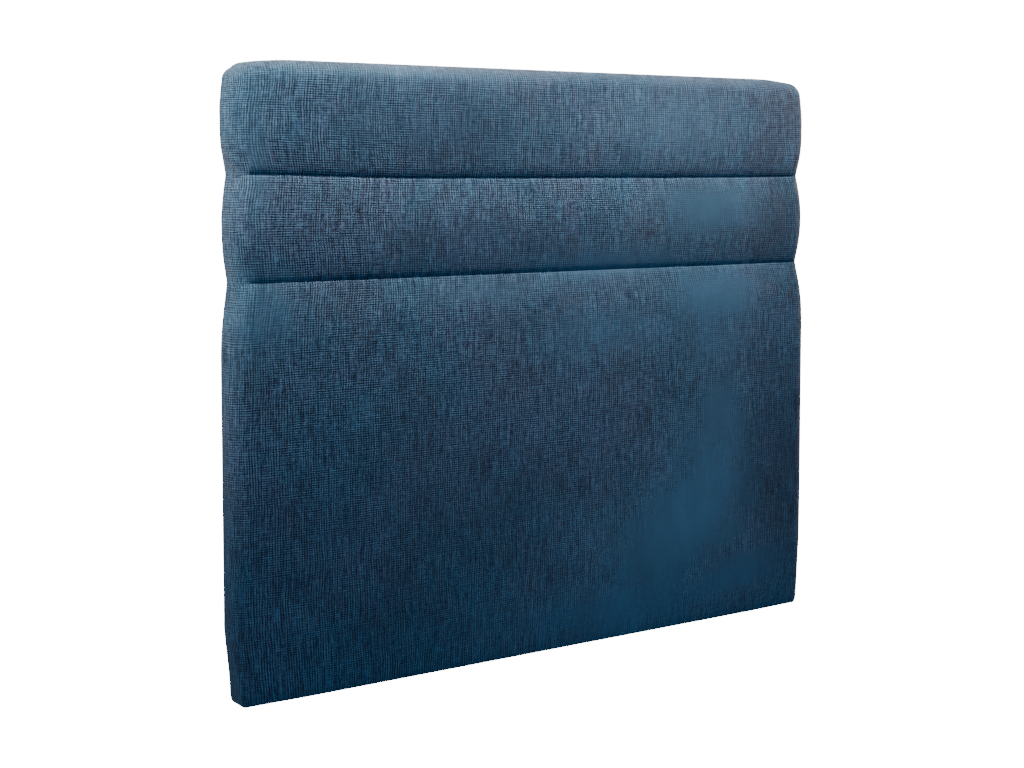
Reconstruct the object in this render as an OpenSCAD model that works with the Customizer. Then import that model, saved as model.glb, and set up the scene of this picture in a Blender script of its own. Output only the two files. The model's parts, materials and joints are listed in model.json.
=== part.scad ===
// Upholstered headboard: a timber frame and a hardboard face, padded on its front,
// sides and top, in a fabric cover whose two sewn seams divide it into three sections.
// The front faces -Y, the width runs along X, and the bottom edge stands on Z = 0.
// Depths are counted forward from the wall: depth 0 is the wall side, +overall_d/2 in Y.

/* [Overall] */
// Width over the padded sides
overall_w = 1440; // [1300:10:1800]
// Depth from the wall to the crown of the padding
overall_d = 80; // [78:1:100]
// Height to the top of the padding
overall_h = 1200; // [1150:10:1300]

/* [Padding] */
// Height of the top section, from the upper seam to the top
top_section_h = 215; // [190:5:240]
// Height of the second section, between the two seams
second_section_h = 195; // [180:1:230]
// How far each seam pulls the padding in
seam_dip = 16; // [8:1:18]
// How far the padding is drawn in along the bottom edge
bottom_dip = 12; // [4:1:16]
// Height over which the padding narrows to the bottom edge
bottom_run = 200; // [120:10:260]
// Rounding of the front edges
front_edge_r = 32; // [26:1:34]
// Rounding of the back edges
back_edge_r = 18; // [14:1:22]
// Thickness of the fabric
cover_t = 1.4; // [1:0.1:1.6]
// Thickness of the polyester wadding under the fabric
wadding_t = 5; // [3:0.5:5]
// Width of the fabric turned in over the back of the frame
turn_in_w = 30; // [24:1:32]

/* [Frame] */
// How far the timber stays inside the overall width, on each side
side_padding = 25; // [25:1:32]
// How far the timber stays below the overall height
top_padding = 22; // [22:1:32]
// Width of the battens, seen from the front
batten_w = 50; // [45:1:60]
// Depth of the battens
batten_d = 40; // [34:1:40]
// Thickness of the hardboard face
board_t = 3; // [3:0.5:4]

/* [Fixings] */
// Distance between the two keyhole hangers
hanger_spacing = 800; // [400:50:900]
// Radius of a keyhole's entry hole
keyhole_r = 5; // [4:0.5:6]
// Radius of the thread in a bolt insert
insert_thread_r = 3.4; // [2.5:0.1:3.5]
// Height of the lower bolt inserts
insert_low_z = 150; // [140:10:200]
// Height of the upper bolt inserts
insert_high_z = 350; // [300:10:360]

/* [Hidden] */
$fn = 48;
// Past every face, for cuts
past = 5;

// Depths, from the wall forward
bumper_t = 3;
dust_t = 0.6;
dust_d = bumper_t;
cover_back_d = dust_d + dust_t;
frame_back_d = cover_back_d + cover_t;
frame_front_d = frame_back_d + batten_d;
board_front_d = frame_front_d + board_t;
padding_t = cover_t + wadding_t;
foam_back_d = cover_back_d + padding_t;

// Outline of the timber
frame_x = overall_w / 2 - side_padding;
frame_low_z = cover_t;
frame_top_z = overall_h - top_padding;
stile_inner_x = frame_x - batten_w;

// Seams and rails
upper_seam_z = overall_h - top_section_h;
lower_seam_z = upper_seam_z - second_section_h;
low_rail_z = 410;
rail_centres = [
    frame_low_z + batten_w / 2, low_rail_z, lower_seam_z, upper_seam_z, frame_top_z - batten_w / 2
];

// Side and front crowns end just past the flat faces, so that they cross them cleanly
side_over = 2;
crown_over = 0.5;
// Height of the flat stretch at the crown of a section, and the steps of each fall from it
crown_flat = 20;
arc_steps = 8;
// Radius for the corners of an outline that lie outside the body
outer_corner_r = 0.5;

// Pull strips behind the seams
strip_t = 1.2;
strip_foot_h = 12;
strip_relief = 2;
strip_x = frame_x - 15;

// Staples
wire_w = 0.9;
wire_t = 0.6;
crown_w = 10;
leg_l = 9;
cover_staple_inset = 23;
cover_staple_pitch = 60;
dust_edge_inset = 7;
dust_staple_inset = 12;
dust_staple_pitch = 80;
board_staple_inset = 30;
board_staple_pitch = 100;
strip_staple_pitch = 90;

// Wood screws
screw_r = 2.5;
screw_l = 100;
screw_head_r = 4.5;
screw_head_l = 4;
screw_offset = 14;

// Corner blocks
block_leg = 60;
block_d = 30;

// Hangers
plate_t = 2;
plate_w = 50;
plate_h = 40;
plate_corner_r = 5;
keyhole_drop = 5;
keyslot_r = 2.6;
keyslot_rise = 12;
pocket_w = 16;
pocket_h = 28;
pocket_deep = 9;
hanger_screw_x = 18;
hanger_screw_r = 1.8;
hanger_screw_head_r = 3.6;
hanger_screw_l = 18;

// Bolt inserts
insert_x = stile_inner_x + 11;
insert_barrel_r = 5.5;
insert_flange_r = 8;
insert_l = 15;
insert_hole_clear = 0.8;

// Wall bumpers
bumper_r = 20;
bumper_inset = 95;

// Position in Y of a depth counted from the wall
function y_at(depth) = overall_d / 2 - depth;

// Radius of an arc that falls by dip over run
function arc_r(dip, run) = (run * run + dip * dip) / (2 * dip);

// Evenly spaced stations from -reach to +reach, at most pitch apart
function stations(reach, pitch) =
    let (steps = ceil(2 * reach / pitch)) [for (i = [0:steps]) -reach + i * 2 * reach / steps];

// Staple places along the four sides of the frame, inset from its edge: [x, z, turned]
function side_places(inset, pitch) = [
    for (side = [-1, 1])
        for (s = stations((frame_top_z - frame_low_z) / 2 - batten_w, pitch))
            [side * (frame_x - inset), (frame_top_z + frame_low_z) / 2 + s, true]
];
function row_places(z, pitch) = [
    for (s = stations(stile_inner_x - batten_w / 2, pitch)) [s, z, false]
];
function edge_places(inset, pitch) = concat(
    side_places(inset, pitch),
    row_places(frame_top_z - inset, pitch),
    row_places(frame_low_z + inset, pitch)
);
function between(places, low, high) = [for (p = places) if (p[1] > low && p[1] < high) p];
function strip_places(z) = row_places(z - strip_foot_h / 2, strip_staple_pitch);

// A block between two X, two depths and two Z
module block(x0, x1, d0, d1, z0, z1) {
    translate([x0, y_at(d1), z0]) cube([x1 - x0, d1 - d0, z1 - z0]);
}

// Outline from y0 to y1, half as wide as half_w, with its own radius at each end
module rounded_outline(half_w, y0, y1, r0, r1) {
    translate([-half_w, y0 + r0]) square([2 * half_w, y1 - y0 - r0 - r1]);
    translate([-(half_w - r0), y0]) square([2 * (half_w - r0), r0]);
    translate([-(half_w - r1), y1 - r1]) square([2 * (half_w - r1), r1]);
    for (side = [-1, 1]) {
        translate([side * (half_w - r0), y0 + r0]) circle(r0);
        translate([side * (half_w - r1), y1 - r1]) circle(r1);
    }
}

// How far a face has fallen at a distance into a run whose whole fall is dip
function fall(dip, run, distance) =
    let (r = arc_r(dip, run)) r - sqrt(r * r - distance * distance);

// Points [face, z] rising from a seam at z0, without the seam's own point
function rise_points(face, z0, dip, run) = [
    for (i = [1:arc_steps]) let (d = run * (1 - i / arc_steps)) [face - fall(dip, run, d), z0 + run - d]
];

// Points [face, z] rising to a seam at z1, with the seam's own point
function close_points(face, z1, dip, run) = [
    for (i = [0:arc_steps]) let (d = run * i / arc_steps) [face - fall(dip, run, d), z1 - run + d]
];

// Rising points of a face up the whole height, in three crowned sections
function stack_points(face, low_dip) =
    let (top_run = (top_section_h - crown_flat) / 2, second_run = (second_section_h - crown_flat) / 2)
    concat(
        [[face - low_dip, -past], [face - low_dip, 0]],
        rise_points(face, 0, low_dip, bottom_run),
        close_points(face, lower_seam_z, seam_dip, top_run),
        rise_points(face, lower_seam_z, seam_dip, second_run),
        close_points(face, upper_seam_z, seam_dip, second_run),
        rise_points(face, upper_seam_z, seam_dip, top_run),
        [[face, overall_h + past]]
    );

// The padded body without its seams, inset from the outside of the cover
module soft_body(inset) {
    low = min(inset, cover_t);
    high = overall_h - inset;
    front_r = front_edge_r - inset;
    back_r = back_edge_r - inset;
    intersection() {
        translate([0, 0, low])
            linear_extrude(high - low)
                rounded_outline(overall_w / 2 - inset, y_at(overall_d - inset),
                    y_at(cover_back_d + inset), front_r, back_r);
        translate([-overall_w / 2 - past, overall_d / 2, 0])
            rotate([90, 0, 90])
                linear_extrude(overall_w + 2 * past)
                    mirror([1, 0])
                        intersection() {
                            polygon(concat(
                                [[-past, overall_h + past], [-past, -past]],
                                stack_points(overall_d - inset + crown_over, bottom_dip)
                            ));
                            side_view_outline(inset);
                        }
        translate([0, overall_d / 2 + past, 0])
            rotate([90, 0, 0])
                linear_extrude(overall_d + 2 * past)
                    intersection() {
                        front_view_sides(stack_points(overall_w / 2 - inset + side_over, seam_dip));
                        rounded_outline(overall_w / 2 + past - inset, -past, high, outer_corner_r, front_r);
                    }
    }
}

// Side view, depth against height, with the top's front and back edges rounded
module side_view_outline(inset) {
    high = overall_h - inset;
    front = overall_d - inset;
    back = cover_back_d + inset;
    front_r = front_edge_r - inset;
    back_r = back_edge_r - inset;
    translate([back, -past]) square([front - back, high - front_r + past]);
    translate([back, high - front_r - past])
        square([front - back - front_r, front_r + past - back_r]);
    translate([back + back_r, high - front_r - past])
        square([front - back - front_r - back_r, front_r + past]);
    translate([front - front_r, high - front_r]) circle(front_r);
    translate([back + back_r, high - back_r]) circle(back_r);
}

// Front view between the two sides, drawn in at the seams and at the bottom
module front_view_sides(side) {
    last = len(side) - 1;
    polygon(concat(side, [for (i = [0:last]) [-side[last - i][0], side[last - i][1]]]));
}

// A staple in the XY plane with its crown's outer face at y = 0 and its legs along -Y
module staple() {
    translate([-crown_w / 2, -wire_t, -wire_w / 2]) cube([crown_w, wire_t, wire_w]);
    for (x = [-crown_w / 2, crown_w / 2 - wire_w]) {
        translate([x, -leg_l, -wire_w / 2]) cube([wire_w, leg_l - wire_t / 2, wire_w]);
    }
}

// Staples driven from the back, their crowns at one depth
module back_staples(places, depth) {
    for (p = places) {
        translate([p[0], y_at(depth), p[1]]) rotate([0, p[2] ? 90 : 0, 0]) staple();
    }
}

// Staples driven from the front, their crowns at one depth
module front_staples(places, depth) {
    for (p = places) {
        translate([p[0], y_at(depth), p[1]])
            mirror([0, 1, 0]) rotate([0, p[2] ? 90 : 0, 0]) staple();
    }
}

// All the staples that cross a band of heights
module staples_near(low, high) {
    back_staples(between(edge_places(cover_staple_inset, cover_staple_pitch), low, high),
        cover_back_d);
    back_staples(between(edge_places(dust_staple_inset, dust_staple_pitch), low, high),
        dust_d - wire_t);
    front_staples(between(edge_places(board_staple_inset, board_staple_pitch), low, high),
        board_front_d);
}

// Countersunk screw along -Y from its head's face at y = 0
module screw(r, head_r, head_l, length) {
    rotate([90, 0, 0]) {
        cylinder(r1 = head_r, r2 = r, h = head_l);
        translate([0, 0, head_l / 2]) cylinder(r = r, h = length - head_l / 2);
    }
}

// Screws through one stile into the rails' ends, for side -1 or 1
module stile_screws(side) {
    for (z = rail_centres) {
        for (dz = [-screw_offset, screw_offset]) {
            translate([side * frame_x, y_at((frame_back_d + frame_front_d) / 2), z + dz])
                rotate([0, 0, side * -90]) screw(screw_r, screw_head_r, screw_head_l, screw_l);
        }
    }
}

module hanger_screw_set() {
    for (side = [-1, 1]) {
        for (x = [-hanger_screw_x, hanger_screw_x]) {
            translate([side * hanger_spacing / 2 + x, y_at(dust_d - plate_t), upper_seam_z])
                screw(hanger_screw_r, hanger_screw_head_r, plate_t, hanger_screw_l);
        }
    }
}

// Routed space behind the keyholes, for the heads of the wall screws
module hanger_pockets() {
    for (side = [-1, 1]) {
        x = side * hanger_spacing / 2;
        z = upper_seam_z - pocket_h / 2;
        block(x - pocket_w / 2, x + pocket_w / 2, dust_d - past, frame_back_d + pocket_deep,
            z, z + pocket_h);
    }
}

// Cylinders along Y at the places of the bolt inserts, over two depths
module at_inserts(r, d0, d1) {
    for (x = [-insert_x, insert_x]) {
        for (z = [insert_low_z, insert_high_z]) {
            translate([x, y_at(d0), z]) rotate([90, 0, 0]) cylinder(r = r, h = d1 - d0);
        }
    }
}

module insert_barrels() {
    at_inserts(insert_barrel_r, frame_back_d, cover_back_d + insert_l);
}

module frame_stile(side) {
    color("burlywood")
        difference() {
            block(min(side * frame_x, side * stile_inner_x), max(side * frame_x, side * stile_inner_x),
                frame_back_d, frame_front_d, frame_low_z, frame_top_z);
            stile_screws(side);
            insert_barrels();
            back_staples(side_places(cover_staple_inset, cover_staple_pitch), cover_back_d);
            back_staples(side_places(dust_staple_inset, dust_staple_pitch), dust_d - wire_t);
            front_staples(side_places(board_staple_inset, board_staple_pitch), board_front_d);
        }
}

// A rail between the stiles, centred on z
module rail_blank(z) {
    block(-stile_inner_x, stile_inner_x, frame_back_d, frame_front_d, z - batten_w / 2, z + batten_w / 2);
}

// The top or the bottom rail, with the staples along one edge of the frame
module outer_rail(z) {
    color("burlywood")
        difference() {
            rail_blank(z);
            stile_screws(-1);
            stile_screws(1);
            staples_near(z - batten_w / 2, z + batten_w / 2);
        }
}

// A cross rail, with the staples of a pull strip if it has one
module cross_rail(z, has_strip) {
    color("burlywood")
        difference() {
            rail_blank(z);
            stile_screws(-1);
            stile_screws(1);
            if (has_strip) front_staples(strip_places(z), board_front_d + strip_t + wire_t);
            if (z == upper_seam_z) {
                hanger_pockets();
                hanger_screw_set();
            }
        }
}

// Centre post between two neighbouring rails, counted from the bottom
module centre_post(index) {
    color("burlywood")
        block(-batten_w / 2, batten_w / 2, frame_back_d, frame_front_d,
            rail_centres[index] + batten_w / 2, rail_centres[index + 1] - batten_w / 2);
}

// Triangular block glued in one inside corner: side -1 or 1, rise -1 for the top
module corner_block(side, rise) {
    corner_z = rise > 0 ? frame_low_z + batten_w : frame_top_z - batten_w;
    color("tan")
        translate([side * stile_inner_x, y_at((frame_back_d + frame_front_d - block_d) / 2), corner_z])
            rotate([90, 0, 0])
                linear_extrude(block_d)
                    polygon([[0, 0], [-side * block_leg, 0], [0, rise * block_leg]]);
}

module frame_screws() {
    color("goldenrod") {
        stile_screws(-1);
        stile_screws(1);
    }
}

module face_board() {
    color("peru")
        difference() {
            block(-frame_x, frame_x, frame_front_d, board_front_d, frame_low_z, frame_top_z);
            front_staples(edge_places(board_staple_inset, board_staple_pitch), board_front_d);
            front_staples(strip_places(upper_seam_z), board_front_d + strip_t + wire_t);
            front_staples(strip_places(lower_seam_z), board_front_d + strip_t + wire_t);
        }
}

module face_board_staples() {
    color("silver") front_staples(edge_places(board_staple_inset, board_staple_pitch), board_front_d);
}

// Space that a pull strip and its stapled foot take from the foam and the wadding
module strip_space(z) {
    block(-overall_w, overall_w, board_front_d - past, overall_d + past, z - strip_t / 2, z + strip_t / 2);
    block(-strip_x, strip_x, board_front_d - past, board_front_d + strip_relief,
        z - strip_foot_h - strip_t / 2, z);
}

// Front foam of one section
module foam_section(z0, z1) {
    color("khaki")
        difference() {
            intersection() {
                soft_body(padding_t);
                block(-overall_w, overall_w, board_front_d, overall_d, z0, z1);
            }
            strip_space(upper_seam_z);
            strip_space(lower_seam_z);
        }
}

// Foam strip along one side of the frame
module foam_edge(side) {
    color("khaki")
        intersection() {
            soft_body(padding_t);
            block(min(side * frame_x, side * overall_w), max(side * frame_x, side * overall_w),
                foam_back_d - past, board_front_d, 0, overall_h);
        }
}

module foam_edge_top() {
    color("khaki")
        intersection() {
            soft_body(padding_t);
            block(-frame_x, frame_x, foam_back_d - past, board_front_d, frame_top_z, overall_h);
        }
}

// Wadding over the foam of one section, on the front, the sides and the top
module wadding_section(z0, z1) {
    color("white")
        difference() {
            intersection() {
                soft_body(cover_t);
                block(-overall_w, overall_w, foam_back_d, overall_d, z0, z1);
            }
            soft_body(padding_t);
            block(-frame_x, frame_x, foam_back_d - past, board_front_d, 0, frame_top_z);
            for (z = [upper_seam_z, lower_seam_z]) {
                block(-strip_x, strip_x, board_front_d, overall_d, z - strip_t / 2, z + strip_t / 2);
            }
        }
}

// Fabric of one section, from its turned-in back edge round the sides and over the front
module cover_section(z0, z1) {
    color("steelblue")
        difference() {
            intersection() {
                soft_body(0);
                block(-overall_w, overall_w, 0, overall_d, z0, z1);
            }
            soft_body(cover_t);
            block(-frame_x + turn_in_w, frame_x - turn_in_w, 0, frame_back_d + past,
                frame_low_z + turn_in_w, frame_top_z - turn_in_w);
            back_staples(between(edge_places(cover_staple_inset, cover_staple_pitch), z0, z1),
                cover_back_d);
            back_staples(between(edge_places(dust_staple_inset, dust_staple_pitch), z0, z1),
                dust_d - wire_t);
        }
}

// Tape that holds a seam back against the face board
module pull_strip(z) {
    seam_front_d = overall_d - seam_dip - cover_t;
    color("ivory")
        difference() {
            union() {
                block(-strip_x, strip_x, board_front_d, seam_front_d, z - strip_t / 2, z + strip_t / 2);
                block(-strip_x, strip_x, board_front_d, board_front_d + strip_t,
                    z - strip_foot_h, z);
            }
            front_staples(strip_places(z), board_front_d + strip_t + wire_t);
        }
}

module pull_strip_staples() {
    color("silver")
        for (z = [upper_seam_z, lower_seam_z]) {
            front_staples(strip_places(z), board_front_d + strip_t + wire_t);
        }
}

module cover_staples() {
    color("silver") back_staples(edge_places(cover_staple_inset, cover_staple_pitch), cover_back_d);
}

module dust_cover() {
    color("dimgray")
        difference() {
            block(-frame_x + dust_edge_inset, frame_x - dust_edge_inset, dust_d, cover_back_d,
                frame_low_z + dust_edge_inset, frame_top_z - dust_edge_inset);
            at_inserts(insert_thread_r + insert_hole_clear, dust_d - past, cover_back_d + past);
            hanger_pockets();
            hanger_screw_set();
            back_staples(edge_places(dust_staple_inset, dust_staple_pitch), dust_d - wire_t);
        }
}

module dust_cover_staples() {
    color("silver") back_staples(edge_places(dust_staple_inset, dust_staple_pitch), dust_d - wire_t);
}

// Steel plate with a keyhole: a round entry with a narrow slot rising from it
module hanger_plate(side) {
    x = side * hanger_spacing / 2;
    entry_z = upper_seam_z - keyhole_drop;
    color("silver")
        difference() {
            translate([x, y_at(dust_d - plate_t), upper_seam_z])
                rotate([90, 0, 0])
                    linear_extrude(plate_t)
                        rounded_outline(plate_w / 2, -plate_h / 2, plate_h / 2,
                            plate_corner_r, plate_corner_r);
            translate([x, y_at(-past), entry_z]) rotate([90, 0, 0])
                cylinder(r = keyhole_r, h = dust_d + 2 * past);
            translate([x, y_at(-past), entry_z + keyslot_rise]) rotate([90, 0, 0])
                cylinder(r = keyslot_r, h = dust_d + 2 * past);
            block(x - keyslot_r, x + keyslot_r, -past, dust_d + past, entry_z, entry_z + keyslot_rise);
            hanger_screw_set();
        }
}

module hanger_screws() {
    color("gainsboro") hanger_screw_set();
}

module bolt_inserts() {
    color("gainsboro")
        difference() {
            union() {
                insert_barrels();
                at_inserts(insert_flange_r, cover_back_d, frame_back_d);
            }
            at_inserts(insert_thread_r, -past, cover_back_d + insert_l + past);
        }
}

// Felt disc that keeps the back off the wall: side -1 or 1
module wall_bumper(side, z) {
    color("darkgray")
        translate([side * (frame_x - bumper_inset), y_at(0), z])
            rotate([90, 0, 0]) cylinder(r = bumper_r, h = bumper_t);
}

bumper_top_z = frame_top_z - bumper_inset;
bumper_low_z = frame_low_z + bumper_inset;

frame_stile(-1);  // frame_stile_left
frame_stile(1);  // frame_stile_right
outer_rail(rail_centres[4]);  // frame_rail_top
outer_rail(rail_centres[0]);  // frame_rail_bottom
cross_rail(upper_seam_z, true);  // frame_rail_upper_seam
cross_rail(lower_seam_z, true);  // frame_rail_lower_seam
cross_rail(low_rail_z, false);  // frame_rail_low
centre_post(3);  // centre_post_top
centre_post(2);  // centre_post_second
centre_post(1);  // centre_post_middle
centre_post(0);  // centre_post_low
corner_block(-1, -1);  // corner_block_top_left
corner_block(1, -1);  // corner_block_top_right
corner_block(-1, 1);  // corner_block_bottom_left
corner_block(1, 1);  // corner_block_bottom_right
frame_screws();
face_board();
face_board_staples();
foam_section(upper_seam_z, overall_h);  // foam_top
foam_section(lower_seam_z, upper_seam_z);  // foam_second
foam_section(0, lower_seam_z);  // foam_main
foam_edge(-1);  // foam_edge_left
foam_edge(1);  // foam_edge_right
foam_edge_top();
wadding_section(upper_seam_z, overall_h);  // wadding_top
wadding_section(lower_seam_z, upper_seam_z);  // wadding_second
wadding_section(0, lower_seam_z);  // wadding_main
cover_section(upper_seam_z, overall_h);  // cover_top
cover_section(lower_seam_z, upper_seam_z);  // cover_second
cover_section(0, lower_seam_z);  // cover_main
pull_strip(upper_seam_z);  // pull_strip_upper
pull_strip(lower_seam_z);  // pull_strip_lower
pull_strip_staples();
cover_staples();
dust_cover();
dust_cover_staples();
hanger_plate(-1);  // hanger_plate_left
hanger_plate(1);  // hanger_plate_right
hanger_screws();
bolt_inserts();
wall_bumper(-1, bumper_top_z);  // wall_bumper_top_left
wall_bumper(1, bumper_top_z);  // wall_bumper_top_right
wall_bumper(-1, bumper_low_z);  // wall_bumper_bottom_left
wall_bumper(1, bumper_low_z);  // wall_bumper_bottom_right
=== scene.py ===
"""Looks of the upholstered headboard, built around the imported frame.

Metres, +Z up, front towards -Y. "Depth" is counted forward from the wall plane.
"""
import json
import math

import bmesh
import bpy
import numpy as np
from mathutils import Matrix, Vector, noise


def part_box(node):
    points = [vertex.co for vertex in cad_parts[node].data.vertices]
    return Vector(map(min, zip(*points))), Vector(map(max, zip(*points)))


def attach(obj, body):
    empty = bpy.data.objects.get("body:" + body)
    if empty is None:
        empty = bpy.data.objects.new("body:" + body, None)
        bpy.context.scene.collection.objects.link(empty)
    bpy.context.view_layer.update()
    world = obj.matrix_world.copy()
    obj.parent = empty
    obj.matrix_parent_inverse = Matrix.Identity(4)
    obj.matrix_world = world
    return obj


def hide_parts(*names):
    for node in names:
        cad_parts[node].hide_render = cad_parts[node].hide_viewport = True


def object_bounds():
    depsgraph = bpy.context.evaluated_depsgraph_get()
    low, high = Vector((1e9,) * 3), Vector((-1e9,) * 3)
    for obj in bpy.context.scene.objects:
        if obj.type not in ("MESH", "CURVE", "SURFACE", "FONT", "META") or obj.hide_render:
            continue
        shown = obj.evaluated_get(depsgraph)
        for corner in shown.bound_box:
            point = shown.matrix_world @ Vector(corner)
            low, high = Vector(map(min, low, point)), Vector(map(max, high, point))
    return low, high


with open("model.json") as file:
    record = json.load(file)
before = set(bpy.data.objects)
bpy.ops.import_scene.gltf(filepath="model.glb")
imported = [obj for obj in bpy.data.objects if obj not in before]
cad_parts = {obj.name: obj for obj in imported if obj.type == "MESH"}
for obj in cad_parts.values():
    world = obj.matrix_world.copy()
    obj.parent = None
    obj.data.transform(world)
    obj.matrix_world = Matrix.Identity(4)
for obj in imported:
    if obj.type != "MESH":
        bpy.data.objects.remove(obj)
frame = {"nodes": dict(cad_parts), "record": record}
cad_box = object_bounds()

# ---------------------------------------------------------------- places taken from the frame
WALL_Y = cad_box[1].y
FRONT_DEPTH = cad_box[1].y - cad_box[0].y
TOP_Z = cad_box[1].z
UPPER_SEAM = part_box("cover_top")[0].z
LOWER_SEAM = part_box("cover_second")[0].z
BACK_DEPTH = WALL_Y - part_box("cover_main")[1].y
TIMBER_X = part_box("face_board")[1].x
BOARD_DEPTH = WALL_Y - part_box("face_board")[0].y
TIMBER_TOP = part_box("face_board")[1].z
FOAM_BACK = WALL_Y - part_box("foam_edge_left")[1].y
POST_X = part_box("centre_post_low")[1].x
STILE_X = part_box("frame_stile_right")[0].x
RAILS = ("bottom", "low", "lower_seam", "upper_seam", "top")
RAIL_HEIGHTS = [sum(corner.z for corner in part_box(f"frame_rail_{rail}")) / 2 for rail in RAILS]
SECTIONS = (
    ("top", UPPER_SEAM, TOP_Z),
    ("second", LOWER_SEAM, UPPER_SEAM),
    ("main", 0.0, LOWER_SEAM),
)

# ---------------------------------------------------------------- layers, outermost first
FABRIC = 0.0014
WADDING = 0.0048
GAP = 0.0001
WADDING_OUT = FABRIC + GAP
FOAM_OUT = WADDING_OUT + WADDING + GAP
SEAM_CLEAR = 0.0008

# ---------------------------------------------------------------- shape of the padding
# How far the sides bulge beyond the firm edge, and how quickly they leave a seam
FIRM_X = TIMBER_X + 0.0045
TOP_SIDE, SECOND_SIDE, MAIN_SIDE, MAIN_SIDE_LOW = 0.0155, 0.0140, 0.0190, 0.0192
TOP_SIDE_RUN, SECOND_SIDE_RUN, MAIN_SIDE_RUN = 0.090, 0.0975, 0.150
SIDE_AT_SEAM = 0.0025
SIDE_POWER = 2.15
VALLEY_ROUNDING = 0.10
# The padding narrows towards the top edge, and the top edge droops near both ends
HEAD_NARROWING, HEAD_RUN = 0.62, 0.100
END_DROOP, END_DROOP_RUN = 0.0075, 0.13
# Depths of the padded front at the crowns, at the seams and at the bottom edge
TOP_CROWN_DEPTH = 0.0765
SECOND_CROWN_DEPTH = 0.0775
MAIN_CROWN_DEPTH = FRONT_DEPTH - 0.0005
SEAM_DEPTH, SEAM_RUN = 0.0690, 0.125
FOOT_DEPTH, FOOT_RUN = 0.0680, 0.230
FRONT_POWER = 2.8
# The crowns fall off a little towards the sides
EDGE_FALL, EDGE_FALL_RUN = 0.0035, 0.16
# Radii of the front, back, top and bottom edges
FRONT_R = 0.030
BACK_R = 0.022
TOP_BACK_R, TOP_BACK_DROP = 0.046, 0.027
TOP_R = 0.028
FOOT_R = 0.0035
FOOT_FRONT_R, FOOT_FRONT_RUN = 0.005, 0.16
# The steeper dip where the cloth enters a seam, which fades out short of the sides
LIP_RUN, LIP_DEPTH = 0.015, 0.0038
LIP_END, LIP_FADE = 0.008, 0.032
# Seam allowance tucked in at the seams, and fabric turned in at the back
TUCK = 0.0016
TURN_IN = 0.030

# ---------------------------------------------------------------- the cloth on the back
# Inner edge of the turned-in fabric, which the back cloth sinks over
TURNED_X, TURNED_LOW, TURNED_HIGH = FIRM_X - 0.0345, TURN_IN + 0.0014, TIMBER_TOP - 0.030
# Where something presses or passes through it: (distance from the middle, height, half size)
CLAMPED = ((0.400, 0.985, 0.026), (0.656, 0.150, 0.010), (0.656, 0.350, 0.010))

# ---------------------------------------------------------------- settling of the covers
SIM_FRAMES = 20
SIM_PRESSURE = 4.0
SIM_STIFFNESS = 300.0
# Share that the cloth may grow by, and how far from a held edge it moves freely
SIM_EASE = 0.004
SIM_FREE_RUN = 0.012
# The movement approaches this and never passes it
SIM_LIMIT = 0.0016


# ---------------------------------------------------------------- the rounded body
def smooth(t):
    t = np.clip(t, 0.0, 1.0)
    return t * t * (3 - 2 * t)


def lerp(a, b, t):
    return a + (b - a) * t


def crown(t, power, rounding=0.0):
    """0 at a seam (t = 0), rising like a cushion to 1 at t = 1; rounding softens the valley."""
    t = np.clip(t, 0.0, 1.0)
    t = (np.sqrt(t**2 + rounding**2) - rounding) / (math.sqrt(1 + rounding**2) - rounding)
    return 1 - (1 - np.minimum(t, 1.0)) ** power


def by_section(z, top, second, main):
    return np.where(z >= UPPER_SEAM, top, np.where(z >= LOWER_SEAM, second, main))


def crown_at(z, top_run, second_run, main_run, power, rounding=0.0):
    """Share of the full crown at a height: 0 at the seams, 1 in the middle of a section."""
    half = (UPPER_SEAM - LOWER_SEAM) / 2
    top = crown((z - UPPER_SEAM) / top_run, power, rounding)
    second = crown((half - abs(z - LOWER_SEAM - half)) / second_run, power, rounding)
    main = crown((LOWER_SEAM - z) / main_run, power, rounding)
    return by_section(z, top, second, main)


def seam_line(x):
    """How far the upper seam wanders from its nominal height along the width."""
    left_rise = 0.0075 * smooth((-x - 0.30) / 0.40)
    right_rise = 0.002 * smooth((x - 0.45) / 0.25)
    return left_rise + right_rise - 0.0035


def warp_z(x, z):
    """Heights of the cloth after the sewing has pulled the upper seam off a straight line."""
    below = smooth((z - LOWER_SEAM) / (UPPER_SEAM - LOWER_SEAM))
    above = smooth((TOP_Z - 0.03 - z) / (TOP_Z - 0.03 - UPPER_SEAM))
    return z + seam_line(x) * np.where(z < UPPER_SEAM, below, above)


def side_reach(z):
    """Half width of the padding at a height."""
    main_peak = lerp(MAIN_SIDE_LOW, MAIN_SIDE, smooth((z - 0.35) / 0.2))
    peak = by_section(z, TOP_SIDE, SECOND_SIDE, main_peak)
    share = crown_at(z, TOP_SIDE_RUN, SECOND_SIDE_RUN, MAIN_SIDE_RUN, SIDE_POWER, VALLEY_ROUNDING)
    full = SIDE_AT_SEAM + (peak - SIDE_AT_SEAM) * share
    foot = 0.001 + 0.0045 * crown(z / 0.02, SIDE_POWER) + 0.0150 * smooth(z / 0.18)
    head = 1 - HEAD_NARROWING * smooth((z - (TOP_Z - HEAD_RUN)) / HEAD_RUN)
    return FIRM_X + np.minimum(full, foot) * head


def front_reach(x, z):
    """Depth of the padded front at a place."""
    share = crown_at(z, SEAM_RUN, SEAM_RUN, SEAM_RUN, FRONT_POWER)
    peak = by_section(z, TOP_CROWN_DEPTH, SECOND_CROWN_DEPTH, MAIN_CROWN_DEPTH)
    depth = SEAM_DEPTH + (peak - SEAM_DEPTH) * share
    foot = FOOT_DEPTH + (MAIN_CROWN_DEPTH - FOOT_DEPTH) * crown(z / FOOT_RUN, SIDE_POWER)
    depth = np.where(z < LOWER_SEAM, np.minimum(depth, foot), depth)
    edge = 1 - smooth((side_reach(z) - abs(x)) / EDGE_FALL_RUN)
    return depth - EDGE_FALL * edge * share


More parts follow.
